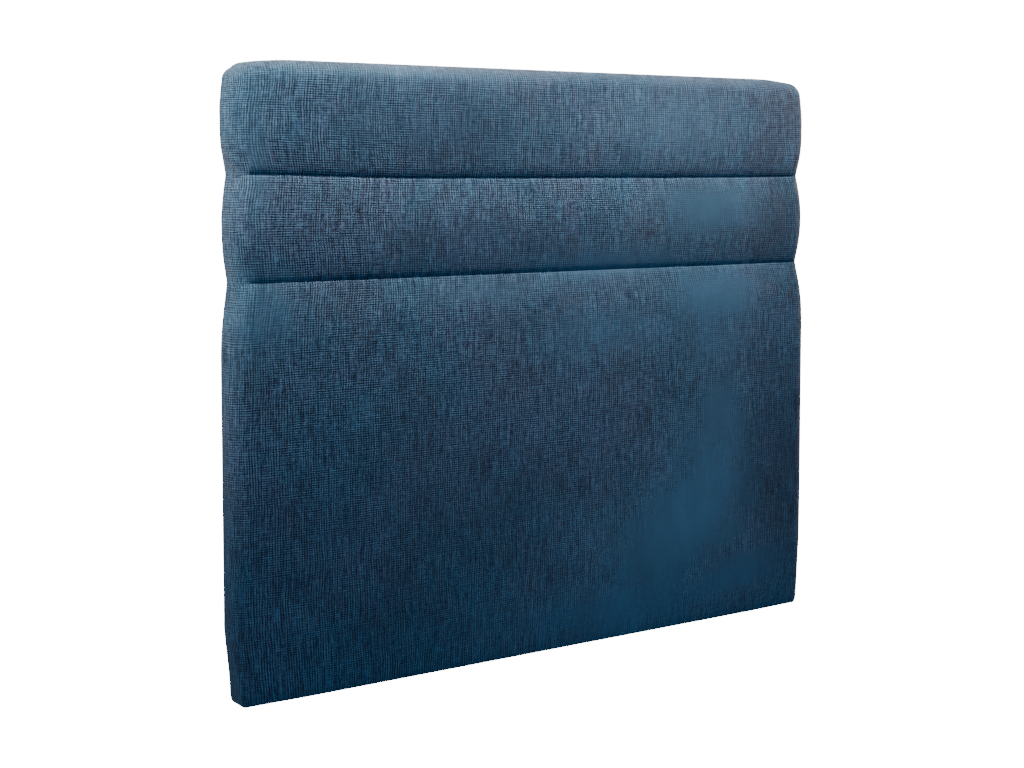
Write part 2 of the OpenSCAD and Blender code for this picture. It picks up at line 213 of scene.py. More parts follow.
def top_reach(x):
    """Height of the top edge, which droops a little near both ends."""
    return TOP_Z - END_DROOP * smooth((abs(x) - (FIRM_X - END_DROOP_RUN)) / END_DROOP_RUN) ** 1.5


def soft_point(x, depth, z, inset):
    """Where a point of the straight-edged body goes once its edges are rounded.

    The point is given inside the body; inset shrinks the body from the fabric's outside.
    """
    half = side_reach(z) - inset
    front = front_reach(x, z) - inset
    back = BACK_DEPTH + inset
    top = top_reach(x) - inset
    near_top = smooth((z - (TOP_Z - 0.035)) / 0.035)
    front_side = depth > (front + back) / 2
    back_rx = np.maximum(side_reach(z) - FIRM_X, 0.004) + 0.003 - inset * 0.4
    back_rx = lerp(back_rx, TOP_BACK_DROP, near_top)
    front_r = lerp(FOOT_FRONT_R, FRONT_R - inset, smooth(z / FOOT_FRONT_RUN))
    rx = np.where(front_side, front_r, back_rx)
    ry = np.where(front_side, front_r, lerp(BACK_R, TOP_BACK_R, near_top) - inset)
    rz = np.where(z > TOP_Z / 2, np.where(front_side, TOP_R, TOP_BACK_DROP) - inset * 0.4, FOOT_R)
    ex = np.clip((abs(x) - (half - rx)) / rx, 0, 1)
    ey = np.where(
        front_side, np.clip((depth - (front - ry)) / ry, 0, 1), -np.clip((back + ry - depth) / ry, 0, 1)
    )
    ez = np.where(z > TOP_Z / 2, np.clip((z - (top - rz)) / rz, 0, 1), -np.clip((rz - z) / rz, 0, 1))
    size = np.sqrt(ex**2 + ey**2 + ez**2)
    biggest = np.maximum(np.maximum(ex, abs(ey)), abs(ez))
    k = np.where(size > 0, biggest / np.maximum(size, 1e-9), 1.0)
    new_x = np.where(ex > 0, np.sign(x) * (half - rx + rx * ex * k), x)
    new_depth = np.where(ey > 0, front - ry + ry * ey * k, np.where(ey < 0, back + ry + ry * ey * k, depth))
    new_z = np.where(ez > 0, top - rz + rz * ez * k, np.where(ez < 0, rz + rz * ez * k, z))
    # the cloth dips more steeply where it enters a seam
    near = np.zeros_like(z)
    for seam in (LOWER_SEAM, UPPER_SEAM):
        near = np.maximum(near, 1 - abs(z - seam) / LIP_RUN)
    lip = LIP_DEPTH * (1 - np.sqrt(1 - np.clip(near, 0, 1) ** 2))
    lip = lip * smooth((half - LIP_END - abs(x)) / LIP_FADE)
    new_depth = new_depth - lip * np.clip((depth - BOARD_DEPTH) / (front - BOARD_DEPTH), 0, 1)
    return np.stack([new_x, WALL_Y - new_depth, warp_z(new_x, new_z)], axis=-1)


def body_point(across, along, z, inset, back=None):
    """A place on the rounded body: across is -1 to 1 over its width, along is 0 (back) to 1 (front)."""
    across, along, z = np.broadcast_arrays(across, along, z)
    z = z - (TOP_Z - top_reach(across * FIRM_X) + inset) * smooth((z - (TOP_Z - 0.1)) / 0.1)
    x = across * (side_reach(z) - inset)
    start = BACK_DEPTH + inset if back is None else back
    depth = start + (front_reach(x, z) - inset - start) * along
    return soft_point(x, depth, z, inset)


def graded(start, end, fine, coarse, growth=1.35):
    """Stations from start to end: fine near both ends, coarse in the middle."""
    length = end - start
    steps, step, total = [], fine, 0.0
    while total + step < length / 2 and step < coarse:
        steps.append(step)
        total += step
        step *= growth
    middle = max(1, round((length - 2 * total) / coarse))
    steps = steps + [(length - 2 * total) / middle] * middle + steps[::-1]
    return start + np.concatenate([[0.0], np.cumsum(steps)]) * (length / sum(steps))


class Shell:
    """Quads collected patch by patch over a box lattice, welded where patches share a place."""

    def __init__(self):
        self.index = {}
        self.points = []
        self.quads = []
        self.cloth = []

    def vertex(self, key, place):
        if key not in self.index:
            self.index[key] = len(self.points)
            self.points.append(place)
        return self.index[key]

    def patch(self, keys, places, cloth, flip=False):
        """keys, places and cloth (u, v in metres) are grids over [row][column]."""
        rows, columns = len(keys), len(keys[0])
        ids = [[self.vertex(keys[r][c], places[r][c]) for c in range(columns)] for r in range(rows)]
        for r in range(rows - 1):
            for c in range(columns - 1):
                ring = [(r, c), (r, c + 1), (r + 1, c + 1), (r + 1, c)]
                if flip:
                    ring.reverse()
                self.quads.append([ids[a][b] for a, b in ring])
                self.cloth.extend(cloth[a][b] for a, b in ring)


def new_piece(name, points, faces, cloth=None):
    mesh = bpy.data.meshes.new(name)
    mesh.from_pydata([tuple(p) for p in points], [], faces)
    if cloth is not None:
        layer = mesh.uv_layers.new(name="weave")
        layer.data.foreach_set("uv", np.asarray(cloth, np.float32).ravel())
    mesh.polygons.foreach_set("use_smooth", [True] * len(mesh.polygons))
    mesh.update()
    piece = bpy.data.objects.new(name, mesh)
    bpy.context.scene.collection.objects.link(piece)
    return piece


def skin_section(name, low, high, inset=0.0, detail=1.0, back=None):
    """The skin of one section, between two seams or from a seam to the panel's end.

    With no back depth it is the fabric: it goes round to the back, is turned in over the frame,
    and its seam allowance is tucked in. With a back depth it is an inner layer that stops there.
    """
    has_top, has_foot = high >= TOP_Z, low <= 0
    half = float(side_reach(np.array((low + high) / 2)))
    wrap = FRONT_DEPTH - BACK_DEPTH
    xs = graded(-1.0, 1.0, 0.003 / half / detail, 0.0068 / half / detail)
    zs = graded(low, high, 0.0016 / detail, 0.0068 / detail)
    ds = np.linspace(0.0, 1.0, int(18 * detail) + 1)
    ins = np.linspace(0.0, TURN_IN, 6)
    nx, nd, nz = len(xs), len(ds), len(zs)
    shell = Shell()

    # front
    keys = [[(i, nd - 1, k) for i in range(nx)] for k in range(nz)]
    cloth = [[(x * half, z) for x in xs] for z in zs]
    shell.patch(keys, body_point(xs[None, :], 1.0, zs[:, None], inset, back), cloth)
    # sides
    for i, side in ((0, -1), (nx - 1, 1)):
        keys = [[(i, j, k) for j in range(nd)] for k in range(nz)]
        cloth = [[(side * (half + (1 - d) * wrap), z) for d in ds] for z in zs]
        shell.patch(keys, body_point(side, ds[None, :], zs[:, None], inset, back), cloth, side > 0)
    # top edge or bottom edge
    for present, k, edge_z, rise in ((has_top, nz - 1, high, 1), (has_foot, 0, low, -1)):
        if present:
            keys = [[(i, j, k) for i in range(nx)] for j in range(nd)]
            cloth = [[(x * half, edge_z + rise * (1 - d) * wrap) for x in xs] for d in ds]
            shell.patch(keys, body_point(xs[None, :], ds[:, None], edge_z, inset, back), cloth, rise > 0)
    if back is None:
        add_turn_in(shell, xs, zs, ins, half, wrap, has_top, has_foot)
        add_tucks(shell, xs, ds, zs)
    return new_piece(name, shell.points, shell.quads, shell.cloth)


def add_turn_in(shell, xs, zs, ins, half, wrap, has_top, has_foot):
    """Strips of fabric turned in over the back of the frame, folded over at the corners."""
    nx, nz, ni = len(xs), len(zs), len(ins)
    turned_y = WALL_Y - BACK_DEPTH
    for i, side in ((0, -1), (nx - 1, 1)):
        keys = [[(i, 0, k) if m == 0 else ("in", i, m, k) for m in range(ni)] for k in range(nz)]
        spots = np.repeat(body_point(side, 0.0, zs, 0.0)[:, None, :], ni, axis=1)
        spots[:, :, 0] -= side * ins[None, :]
        spots[:, 1:, 1] = turned_y
        cloth = [[(side * (half + wrap + m), z) for m in ins] for z in zs]
        shell.patch(keys, spots, cloth, side < 0)
    for present, k, rise in ((has_top, nz - 1, 1), (has_foot, 0, -1)):
        if present:
            keys = [[(i, 0, k) if m == 0 else ("fold", i, m, k) for i in range(nx)] for m in range(ni)]
            spots = np.repeat(body_point(xs, 0.0, zs[k], 0.0)[None, :, :], ni, axis=0)
            spots[:, :, 2] -= rise * ins[:, None]
            spots[1:, :, 1] = turned_y + 0.0002
            cloth = [[(x * half, zs[k] + rise * (wrap + m)) for x in xs] for m in ins]
            shell.patch(keys, spots, cloth, rise > 0)


def add_tucks(shell, xs, ds, zs):
    """The seam allowance: a strip tucked in behind the seam on the sides and the front."""
    nx, nd = len(xs), len(ds)
    rim = [(0, j) for j in range(nd)] + [(i, nd - 1) for i in range(1, nx)]
    rim += [(nx - 1, j) for j in range(nd - 2, -1, -1)]
    for k, rise in ((0, -1), (len(zs) - 1, 1)):
        if not 0 < zs[k] < TOP_Z:
            continue
        outer = body_point(np.array([xs[i] for i, j in rim]), np.array([ds[j] for i, j in rim]), zs[k], 0.0)
        inner = outer.copy()
        for n, (i, j) in enumerate(rim):
            inner[n, 1] += TUCK if j == nd - 1 else 0.0
            inner[n, 0] -= math.copysign(0.003, outer[n, 0]) if i in (0, nx - 1) else 0.0
        inner[:, 2] -= rise * 0.0002
        keys = [[(i, j, k) for i, j in rim], [("tuck", i, j, k) for i, j in rim]]
        cloth = [[(0.0, zs[k])] * len(rim), [(0.0, zs[k] + rise * TUCK)] * len(rim)]
        shell.patch(keys, [outer, inner], cloth, rise > 0)


def soft_block(name, inset, x_ends, depth_ends, z_ends, cells):
    """A closed block of foam cut from the rounded body.

    An end given as None is the body's own face: its side, or its front.
    """
    (x0, x1), (d0, d1), (z0, z1) = x_ends, depth_ends, z_ends
    nx, nd, nz = cells
    shell = Shell()

    def spot(a, b, c):
        a, b, c = np.broadcast_arrays(a / nx, b / nd, c / nz)
        z = lerp(z0, z1, c)
        z = z - (TOP_Z - top_reach(0.0 * z)) * smooth((z - (TOP_Z - 0.1)) / 0.1)
        z = np.minimum(z, TOP_Z - inset)
        half = side_reach(z) - inset
        left = -half if x0 is None else x0
        right = half if x1 is None else x1
        x = lerp(left, right, a)
        front = front_reach(x, z) - inset if d1 is None else d1
        return soft_point(x, lerp(d0, front, b), z, inset)

    i, j, k = np.arange(nx + 1), np.arange(nd + 1), np.arange(nz + 1)
    for b, flip in ((nd, False), (0, True)):
        keys = [[(p, b, r) for p in i] for r in k]
        shell.patch(keys, spot(i[None, :], b, k[:, None]), [[(p, r) for p in i] for r in k], flip)
    for a, flip in ((0, False), (nx, True)):
        keys = [[(a, q, r) for q in j] for r in k]
        shell.patch(keys, spot(a, j[None, :], k[:, None]), [[(q, r) for q in j] for r in k], flip)
    for c, flip in ((nz, True), (0, False)):
        keys = [[(p, q, c) for p in i] for q in j]
        shell.patch(keys, spot(i[None, :], j[:, None], c), [[(p, q) for p in i] for q in j], flip)
    return new_piece(name, shell.points, shell.quads)


def thicken(piece, thickness):
    shell = piece.modifiers.new("thickness", "SOLIDIFY")
    shell.thickness = thickness
    shell.offset = -1
    shell.use_rim = True


def softened(node, name, x_step, z_step, move):
    """A new piece from a CAD node's own shape, cut into a grid and shifted by move(x, y, z)."""
    mesh = bmesh.new()
    mesh.from_mesh(frame["nodes"][node].data)
    bmesh.ops.remove_doubles(mesh, verts=mesh.verts, dist=1e-6)
    low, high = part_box(node)
    for axis, step in ((0, x_step), (2, z_step)):
        for n in range(1, round((high[axis] - low[axis]) / step) if step else 0):
            spot, normal = Vector(), Vector()
            spot[axis], normal[axis] = low[axis] + n * step, 1.0
            everything = mesh.verts[:] + mesh.edges[:] + mesh.faces[:]
            bmesh.ops.bisect_plane(mesh, geom=everything, dist=1e-6, plane_co=spot, plane_no=normal)
    for vertex in mesh.verts:
        vertex.co += Vector(move(*vertex.co))
    piece = new_piece(name, [], [])
    mesh.to_mesh(piece.data)
    mesh.free()
    return piece


def dust_cover_shift(x, y, z):
    """The cloth sinks onto the frame inside the turned-in fabric, and sags a little over each bay."""
    turn_in = min(TURNED_X - abs(x), z - TURNED_LOW, TURNED_HIGH - z)
    keep = 1.0
    for px, pz, clear in CLAMPED:
        keep = min(keep, float(smooth((max(abs(abs(x) - px), abs(z - pz)) - clear) / 0.035)))
    sunk = 0.0012 * float(smooth(turn_in / 0.05)) * keep
    bay_x = min(abs(x) - POST_X, STILE_X - abs(x))
    bay_z = min(abs(z - rail) for rail in RAIL_HEIGHTS) - 0.025
    sag = 0.0022 * float(smooth(bay_x / 0.12) * smooth(bay_z / 0.10)) * keep
    slack = noise.noise(Vector((x * 9.0, 3.0, z * 9.0)))
    return 0.0, -(sunk + sag * (1.0 + 0.5 * slack)), 0.0


def strip_shift(x, y, z):
    """The free edge of a pull strip waves a little between its staples."""
    free = (-y - 0.010) / 0.013
    return 0.0, 0.0, 0.00022 * max(0.0, free) * noise.noise(Vector((x * 40.0, 0.0, z)))


def felt_disc(name, node):
    """Die-cut felt disc: softly rounded at the wall, with a slightly uneven rim."""
    low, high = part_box(node)
    middle, radius, thick = (low + high) / 2, (high.x - low.x) / 2, high.y - low.y
    # share of the radius, and share of the thickness below the face at the wall
    profile = (
        (0.0, 0.03), (0.5, 0.02), (0.88, 0.0), (0.95, 0.03), (0.985, 0.14), (1.0, 0.35),
        (1.0, 0.7), (0.99, 0.9), (0.97, 1.0), (0.5, 1.0), (0.0, 1.0),
    )
    turns = 72
    points, faces = [], []
    for share, depth in profile:
        for t in range(turns):
            angle = 2 * math.pi * t / turns
            across, up = math.cos(angle), math.sin(angle)
            uneven = abs(noise.noise(Vector((across * 6, up * 6, share))))
            r = radius * share * (1.0 - 0.006 * uneven)
            points.append((middle.x + r * across, high.y - thick * depth, middle.z + r * up))
    for p in range(len(profile) - 1):
        for t in range(turns):
            u = (t + 1) % turns
            faces.append((p * turns + t, p * turns + u, (p + 1) * turns + u, (p + 1) * turns + t))
    disc = new_piece(name, points, faces)
    mesh = bmesh.new()
    mesh.from_mesh(disc.data)
    bmesh.ops.remove_doubles(mesh, verts=mesh.verts, dist=1e-7)
    bmesh.ops.recalc_face_normals(mesh, faces=mesh.faces)
    mesh.to_mesh(disc.data)
    mesh.free()
    return disc


def stretch_over(piece, low, high):
    """Lets the cloth settle over the padding: pressed out from inside, held at its seams and back.

    The movement is limited, so that the sewn shape keeps its size.
    """
    at = np.array([v.co for v in piece.data.vertices])
    edge = np.minimum(abs(at[:, 2] - low), WALL_Y - BACK_DEPTH - at[:, 1])
    if high < TOP_Z:
        edge = np.minimum(edge, abs(at[:, 2] - high))
    held = 1 - smooth(edge / SIM_FREE_RUN)
    group = piece.vertex_groups.new(name="held")
    for index, weight in enumerate(held):
        group.add([index], float(weight), "REPLACE")
    cloth = piece.modifiers.new("settle", "CLOTH")
    cloth.settings.quality = 4
    cloth.settings.mass = 0.4
    cloth.settings.tension_stiffness = cloth.settings.compression_stiffness = SIM_STIFFNESS
    cloth.settings.shear_stiffness = SIM_STIFFNESS / 3
    cloth.settings.bending_stiffness = 0.4
    cloth.settings.shrink_min = -SIM_EASE
    cloth.settings.use_pressure = True
    cloth.settings.uniform_pressure_force = SIM_PRESSURE
    cloth.settings.vertex_group_mass = "held"
    cloth.settings.effector_weights.gravity = 0.0
    cloth.collision_settings.use_collision = False
    cloth.point_cache.frame_start, cloth.point_cache.frame_end = 1, SIM_FRAMES
    scene = bpy.context.scene
    for step in range(1, SIM_FRAMES + 1):
        scene.frame_set(step)
    settled = piece.evaluated_get(bpy.context.evaluated_depsgraph_get())
    after = np.array([v.co for v in settled.data.vertices])
    moved = (after - at) * (1 - held)[:, None]
    normals = np.array([v.normal for v in piece.data.vertices])
    moved -= normals * np.minimum((moved * normals).sum(axis=1, keepdims=True), 0.0)
    size = np.linalg.norm(moved, axis=1, keepdims=True)
    moved *= SIM_LIMIT / (SIM_LIMIT + size)
    piece.modifiers.remove(cloth)
    piece.vertex_groups.remove(group)
    piece.data.vertices.foreach_set("co", (at + moved).astype(np.float32).ravel())
    piece.data.update()
    scene.frame_set(1)


# ---------------------------------------------------------------- node helpers
class Nodes:
    """Short calls for building one material's node tree."""

    def __init__(self, name):
        self.material = bpy.data.materials.new(name)
        self.material.use_nodes = True
        self.tree = self.material.node_tree
        self.shader = self.tree.nodes["Principled BSDF"]

    def put(self, socket, value):
        if isinstance(value, bpy.types.NodeSocket):
            self.tree.links.new(value, socket)
        else:
            socket.default_value = value

    def set(self, **values):
        for name, value in values.items():
            self.put(self.shader.inputs[name.replace("_", " ")], value)

    def math(self, operation, a, b=0.0, c=0.0, clamp=False):
        node = self.tree.nodes.new("ShaderNodeMath")
        node.operation = operation
        node.use_clamp = clamp
        for socket, value in zip(node.inputs, (a, b, c)):
            self.put(socket, value)
        return node.outputs[0]

    def combine(self, x, y, z=0.0):
        node = self.tree.nodes.new("ShaderNodeCombineXYZ")
        for socket, value in zip(node.inputs, (x, y, z)):
            self.put(socket, value)
        return node.outputs[0]

    def stretch(self, x, y, x_scale, y_scale, z=0.0):
        """A point for a noise whose grains are 1 / x_scale wide and 1 / y_scale high."""
        return self.combine(self.math("MULTIPLY", x, x_scale), self.math("MULTIPLY", y, y_scale), z)

    def noise(self, vector, scale=1.0, detail=2.0, roughness=0.5, distortion=0.0):
        node = self.tree.nodes.new("ShaderNodeTexNoise")
        self.put(node.inputs["Vector"], vector)
        node.inputs["Scale"].default_value = scale
        node.inputs["Detail"].default_value = detail
        node.inputs["Roughness"].default_value = roughness
        node.inputs["Distortion"].default_value = distortion
        return node.outputs["Fac"]

    def remap(self, value, low, high, to_low=0.0, to_high=1.0, soft=True):
        node = self.tree.nodes.new("ShaderNodeMapRange")
        node.interpolation_type = "SMOOTHSTEP" if soft else "LINEAR"
        for name, number in (("From Min", low), ("From Max", high), ("To Min", to_low), ("To Max", to_high)):
            self.put(node.inputs[name], number)
        self.put(node.inputs["Value"], value)
        return node.outputs[0]

    def mix(self, share, a, b):
        node = self.tree.nodes.new("ShaderNodeMix")
        node.data_type = "RGBA"
        self.put(node.inputs[0], share)
        self.put(node.inputs[6], a)
        self.put(node.inputs[7], b)
        return node.outputs[2]

    def scale_colour(self, colour, factor):
        node = self.tree.nodes.new("ShaderNodeVectorMath")
        node.operation = "SCALE"
        self.put(node.inputs[0], colour)
        self.put(node.inputs["Scale"], factor)
        return node.outputs[0]

    def place(self):
        node = self.tree.nodes.new("ShaderNodeTexCoord")
        return node.outputs["Object"]

    def split(self, vector):
        node = self.tree.nodes.new("ShaderNodeSeparateXYZ")
        self.put(node.inputs[0], vector)
        return node.outputs[0], node.outputs[1], node.outputs[2]

    def bump(self, height, distance, strength=1.0, after=None):
        node = self.tree.nodes.new("ShaderNodeBump")
        node.inputs["Strength"].default_value = strength
        node.inputs["Distance"].default_value = distance
        self.put(node.inputs["Height"], height)
        if after is not None:
            self.put(node.inputs["Normal"], after)
        return node.outputs[0]


# ---------------------------------------------------------------- the chenille
# Yarn colours, and the colour of nap that stands up dark, also used as painted shade
TEAL = (0.024, 0.100, 0.200, 1.0)
PLUM = (0.054, 0.088, 0.178, 1.0)
DEEP = (0.003, 0.018, 0.046, 1.0)
PALE = (0.095, 0.235, 0.400, 1.0)
NIGHT = (0.002, 0.026, 0.072, 1.0)
WARP_PITCH = 0.0054
WEFT_PITCH = 0.0044
# Places where the nap lies smooth and light, and painted highlights: the patches at the left edge and the
# band along the top crown are painted light from the lamps: (x, height, half width, half height, strength)
LIGHT_NAP_AND_PAINTED_LIGHT_PATCHES = (
    (0.16, 0.07, 0.28, 0.08, 0.75),
    (0.50, 0.10, 0.20, 0.07, 0.85),
    (0.32, 0.20, 0.22, 0.14, 1.00),
    (0.42, 0.33, 0.13, 0.15, 1.00),
    (0.46, 0.46, 0.08, 0.12, 0.90),
    (0.44, 0.62, 0.09, 0.10, 0.60),
    (0.42, 0.72, 0.14, 0.07, 0.85),
    (0.62, 0.77, 0.12, 0.03, 0.45),
    (0.14, 0.66, 0.20, 0.06, 0.60),
    (0.16, 0.80, 0.24, 0.04, 0.70),
    (-0.15, 0.76, 0.20, 0.03, 0.50),
    (-0.66, 0.73, 0.08, 0.08, 0.60),
    (0.34, 1.09, 0.20, 0.11, 0.55),
    (0.42, 0.92, 0.17, 0.07, 0.90),
    (-0.35, 1.185, 0.35, 0.028, 0.50),
    (-0.67, 1.02, 0.03, 0.16, 0.55),
)
# Places where the nap stands up dark, and painted shade: the band on the right of the top crown, the patches
# on the left just above the seams and the lower left of the main section are painted shade where the light
# falls off
DARK_NAP_AND_PAINTED_SHADE_PATCHES = (
    (0.65, 0.34, 0.11, 0.22, 1.0),
    (0.64, 0.87, 0.07, 0.10, 0.6),
    (0.60, 1.09, 0.11, 0.09, 0.5),
    (0.30, 1.195, 0.40, 0.03, 0.5),
    (-0.30, 1.08, 0.26, 0.07, 0.8),
    (-0.20, 0.86, 0.22, 0.05, 0.5),
    (-0.30, 0.28, 0.36, 0.26, 0.6),
)


def patches(n, u, v, ragged, places):
    """Share of a patch mask at a place, for nap marks and for painted light and shade: the strongest of
    several ragged, soft-edged patches.
    """
    total = 0.0
    for x, z, wide, high, strength in places:
        dx = n.math("DIVIDE", n.math("SUBTRACT", u, x), wide)
        dz = n.math("DIVIDE", n.math("SUBTRACT", v, z), high)
        far = n.math("SQRT", n.math("ADD", n.math("MULTIPLY", dx, dx), n.math("MULTIPLY", dz, dz)))
        spot = n.remap(n.math("ADD", far, ragged), 1.75, 0.05, 0.0, strength)
        total = n.math("MAXIMUM", total, spot)
    return total


def chenille():
    """Slubbed chenille: wavy warp yarns, a visible weft, irregular slubs, brushed nap patches and patches of
    painted light and shade.
    """
    n = Nodes("chenille")
    uv = n.tree.nodes.new("ShaderNodeUVMap")
    uv.uv_map = "weave"
    u, v, _ = n.split(uv.outputs[0])
    edge = n.noise(n.stretch(u, v, 5.0, 7.0, 3.7), detail=8.0, roughness=0.74)
    ragged = n.math("MULTIPLY", n.math("SUBTRACT", edge, 0.5), 2.4)
    brushed_nap_and_painted_light = patches(n, u, v, ragged, LIGHT_NAP_AND_PAINTED_LIGHT_PATCHES)
    dark = patches(n, u, v, ragged, DARK_NAP_AND_PAINTED_SHADE_PATCHES)
    crisp = n.remap(brushed_nap_and_painted_light, 0.20, 1.0, 1.0, 0.05)

    # the yarns wander, and no two crossings are alike
    sway = n.math("MULTIPLY", n.noise(n.stretch(u, v, 9.0, 9.0), detail=1.0), 0.012)
    shiver = n.math("MULTIPLY", n.noise(n.stretch(u, v, 80.0, 40.0, 2.0), detail=1.0), 0.0034)
    uw = n.math("ADD", u, n.math("ADD", sway, shiver))
    vw = n.math("MULTIPLY_ADD", n.noise(n.stretch(u, v, 14.0, 60.0, 4.0), detail=1.0), 0.0030, v)
    warp = n.math("SINE", n.math("MULTIPLY", uw, 2 * math.pi / WARP_PITCH))
    weft = n.math("SINE", n.math("MULTIPLY", vw, 2 * math.pi / WEFT_PITCH))
    warp_share = n.remap(n.noise(n.stretch(u, v, 45.0, 14.0, 6.0), detail=3.0), 0.36, 0.64, 0.25, 1.0)
    weft_share = n.remap(n.noise(n.stretch(u, v, 12.0, 30.0, 8.0), detail=3.0), 0.36, 0.64, 0.3, 1.0)
    slub = n.noise(n.stretch(uw, v, 300.0, 70.0), detail=3.0, roughness=0.65)
    line = n.noise(n.stretch(uw, v, 230.0, 16.0, 5.0), detail=2.0, roughness=0.6)
    cross_line = n.noise(n.stretch(u, vw, 34.0, 300.0, 9.0), detail=3.0, roughness=0.65)
    grain = n.noise(n.stretch(u, v, 520.0, 520.0, 7.0), detail=2.0, roughness=0.7)

    relief = n.math("MULTIPLY", n.math("MULTIPLY", warp, warp_share), 1.15)
    weft_share = n.math("MULTIPLY", weft_share, n.remap(v, 0.15, 0.60, 0.55, 0.92))
    relief = n.math("MULTIPLY_ADD", n.math("MULTIPLY", weft, weft_share), 1.0, relief)
    relief = n.math("MULTIPLY_ADD", n.math("MULTIPLY", warp, weft), 0.45, relief)
    relief = n.math("MULTIPLY_ADD", n.math("SUBTRACT", slub, 0.5), 3.4, relief)
    relief = n.math("MULTIPLY_ADD", n.math("SUBTRACT", line, 0.5), 3.6, relief)
    cross_gain = n.remap(v, 0.15, 0.60, 2.2, 3.2)
    relief = n.math("MULTIPLY_ADD", n.math("SUBTRACT", cross_line, 0.5), cross_gain, relief)
    relief = n.math("MULTIPLY_ADD", n.math("SUBTRACT", grain, 0.5), 3.0, relief)
    gain = n.remap(u, -0.62, -0.22, 1.28, 1.12)
    relief = n.math("MULTIPLY", n.math("MULTIPLY", relief, crisp), gain)

    tone = n.noise(n.stretch(u, v, 4.0, 3.0, 1.0), detail=4.0, roughness=0.6)
    thread_tone = n.noise(n.stretch(uw, v, 110.0, 20.0, 11.0), detail=2.0)
    plum_share = n.remap(n.math("MULTIPLY_ADD", thread_tone, 0.5, tone), 0.62, 0.88)
    plum_share = n.math("MULTIPLY", plum_share, crisp)
    colour = n.mix(plum_share, TEAL, PLUM)
    colour = n.mix(n.remap(relief, 0.10, -1.0, 0.0, 0.97, soft=False), colour, DEEP)
    colour = n.mix(n.remap(relief, 0.10, 1.5, 0.0, 0.95, soft=False), colour, PALE)
    # lighter where the nap lies smooth, and painted highlight in the patches at the left edge and along the
    # top crown
    colour = n.mix(n.math("MULTIPLY", brushed_nap_and_painted_light, 0.30), colour, PALE)
    blotch = n.noise(n.stretch(u, v, 7.0, 5.0, 13.0), detail=6.0, roughness=0.65)
    level = n.remap(blotch, 0.25, 0.75, 0.78, 1.22, soft=False)
    # darker where the nap stands up, and painted shade in the patches where the light falls off
    colour = n.mix(n.math("MULTIPLY", dark, 0.55), colour, NIGHT)
    n.set(
        Base_Color=n.scale_colour(colour, level),
        Roughness=n.remap(brushed_nap_and_painted_light, 0.0, 1.0, 0.88, 0.70, soft=False),
        Sheen_Weight=0.22,
        Sheen_Roughness=0.45,
        Sheen_Tint=(1.0, 0.95, 0.95, 1.0),
        Normal=n.bump(relief, 0.0003, 0.8),
    )
    n.shader.inputs["Specular IOR Level"].default_value = 0.2
    return n.material


def plain_cloth(name, colour, dark, yarn, rough, sheen):
    """Simple woven or felted cloth, from object coordinates."""
    n = Nodes(name)
    x, y, z = n.split(n.place())
    fuzz = n.noise(n.combine(x, y, z), scale=1 / yarn, detail=3.0, roughness=0.65)
    patch = n.noise(n.combine(x, y, z), scale=6.0, detail=3.0)
    mixed = n.mix(n.remap(fuzz, 0.3, 0.7), dark, colour)
    n.set(
        Base_Color=n.scale_colour(mixed, n.remap(patch, 0.25, 0.75, 0.88, 1.12, soft=False)),
        Roughness=n.remap(fuzz, 0.2, 0.8, rough - 0.06, rough + 0.06, soft=False),
        Sheen_Weight=sheen,
        Normal=n.bump(fuzz, yarn * 0.35, 0.8),
    )
    return n.material


PINE, PINE_DARK = (0.70, 0.50, 0.29, 1.0), (0.50, 0.29, 0.13, 1.0)
PINE_RING = 0.0042


def timber(name, along_x):
    """Sawn pine: curved growth rings that run with the grain, fine fibres and soft blotches."""
    n = Nodes(name)
    x, y, z = n.split(n.place())
    run, across = (x, z) if along_x else (z, x)
    drift = n.noise(n.combine(n.math("MULTIPLY", run, 1.6), across, y), scale=1.8, detail=2.0)
    flat = n.math("MULTIPLY_ADD", drift, 0.09, across)
    squared = n.math("MULTIPLY_ADD", flat, flat, n.math("MULTIPLY", n.math("ADD", y, 0.07), y))
    distance = n.math("ABSOLUTE", n.math("ADD", flat, n.math("SQRT", squared)))
    rings = n.remap(n.math("SINE", n.math("MULTIPLY", distance, 2 * math.pi / PINE_RING)), -0.2, 1.0)
    along, wide, deep = (n.math("MULTIPLY", a, b) for a, b in ((run, 14.0), (across, 700.0), (y, 700.0)))
    fibre = n.noise(n.combine(along, wide, deep), detail=3.0)
    blotch = n.noise(n.combine(x, y, z), scale=7.0, detail=4.0)
    level = n.math("MULTIPLY", n.remap(fibre, 0.3, 0.7, 0.88, 1.08), n.remap(blotch, 0.25, 0.75, 0.9, 1.1))
    n.set(
        Base_Color=n.scale_colour(n.mix(n.math("MULTIPLY", rings, 0.75), PINE, PINE_DARK), level),
        Roughness=n.remap(fibre, 0.2, 0.8, 0.58, 0.74, soft=False),
        Normal=n.bump(fibre, 0.0002, 0.6),
    )
    return n.material


def plywood():
    """Thin veneers of turning grain, seen as bands on the sawn edges."""
    n = Nodes("plywood")
    x, y, z = n.split(n.place())
    band = n.remap(n.math("SINE", n.math("MULTIPLY", y, 2 * math.pi / 0.006)), -0.15, 0.15)
    grain = n.combine(n.math("MULTIPLY", x, 60.0), n.math("MULTIPLY", y, 300.0), n.math("MULTIPLY", z, 400.0))
    fibre = n.noise(grain, detail=3.0)
    n.set(
        Base_Color=n.scale_colour(
            n.mix(band, (0.60, 0.43, 0.25, 1.0), (0.40, 0.26, 0.14, 1.0)), n.remap(fibre, 0.3, 0.7, 0.85, 1.1)
        ),
        Roughness=n.remap(fibre, 0.2, 0.8, 0.6, 0.78, soft=False),
        Normal=n.bump(fibre, 0.0002, 0.6),
    )
    return n.material


